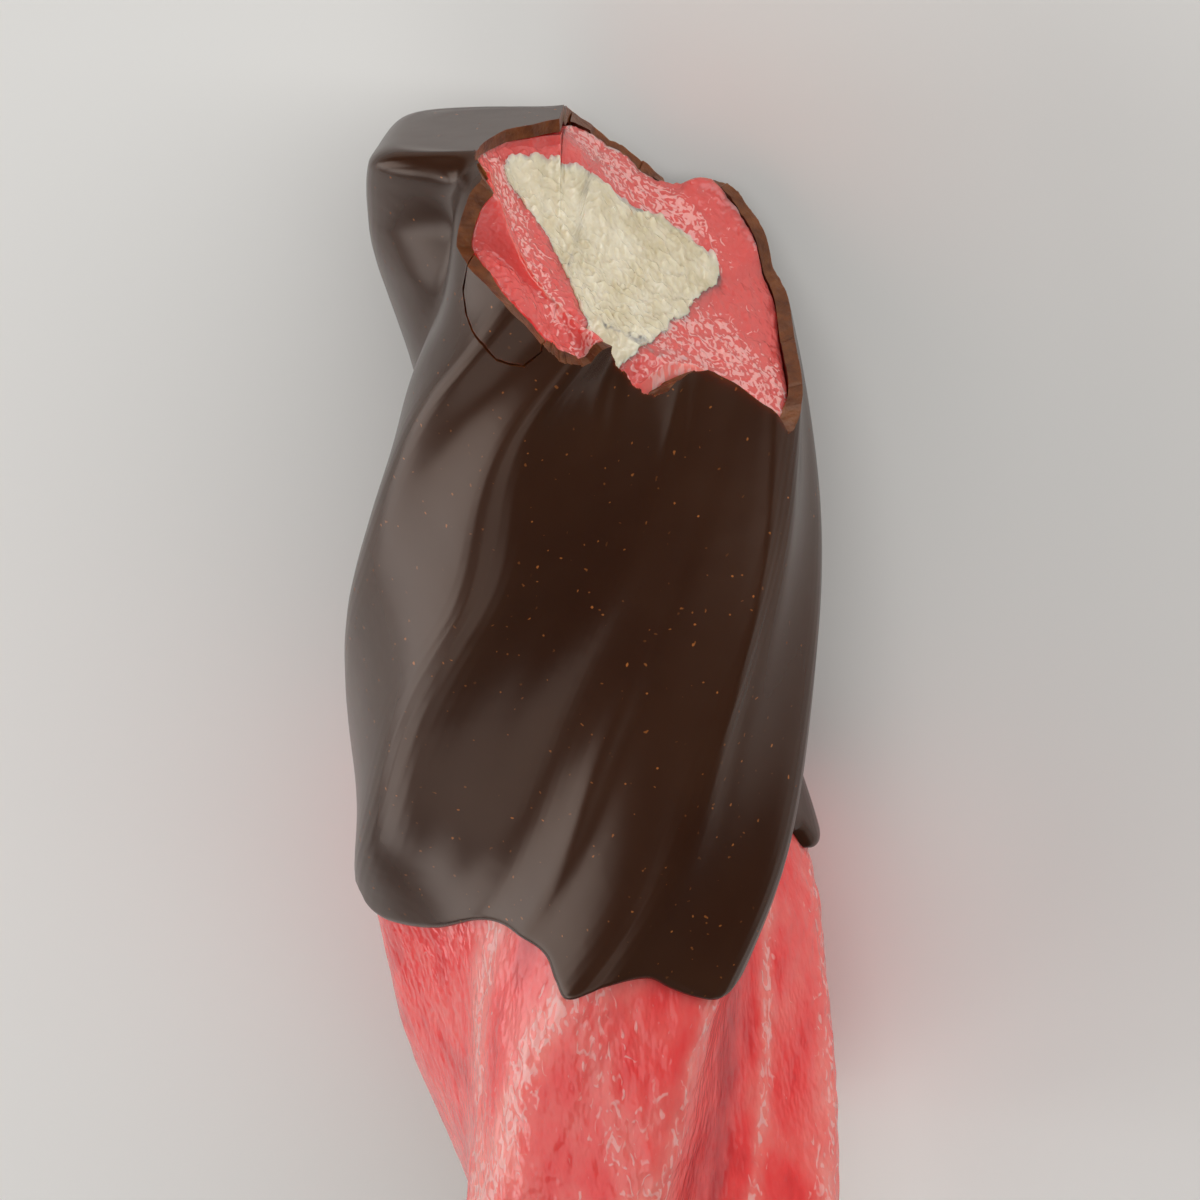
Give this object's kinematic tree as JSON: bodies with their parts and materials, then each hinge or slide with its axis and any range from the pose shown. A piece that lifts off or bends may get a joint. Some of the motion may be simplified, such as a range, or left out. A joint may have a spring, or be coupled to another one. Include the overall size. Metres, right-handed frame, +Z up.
{
  "type": "ice cream bar",
  "caption": "Bitten twisted ice bar with fluted lobes: strawberry ice round a vanilla core, its upper part dipped in dark chocolate, on a wooden stick.",
  "frame": {"origin": "bottom centre of the bounding box, on the surface the bar lies on", "axes": "+Y along the bar towards its bitten top, +Z up, out of the side that shows"},
  "size_m": [0.0426, 0.1644, 0.0424],
  "materials": {
    "chocolate": "satin dark chocolate",
    "strawberry_ice": "frosty fruit ice",
    "vanilla_ice": "granular ice cream",
    "stick": "plain birch"
  },
  "bodies": {
    "root": {"chocolate_shell": "chocolate", "chocolate_chip": "chocolate", "strawberry_ice": "strawberry_ice", "vanilla_core": "vanilla_ice", "wooden_stick": "stick"}
  },
  "joints": []
}
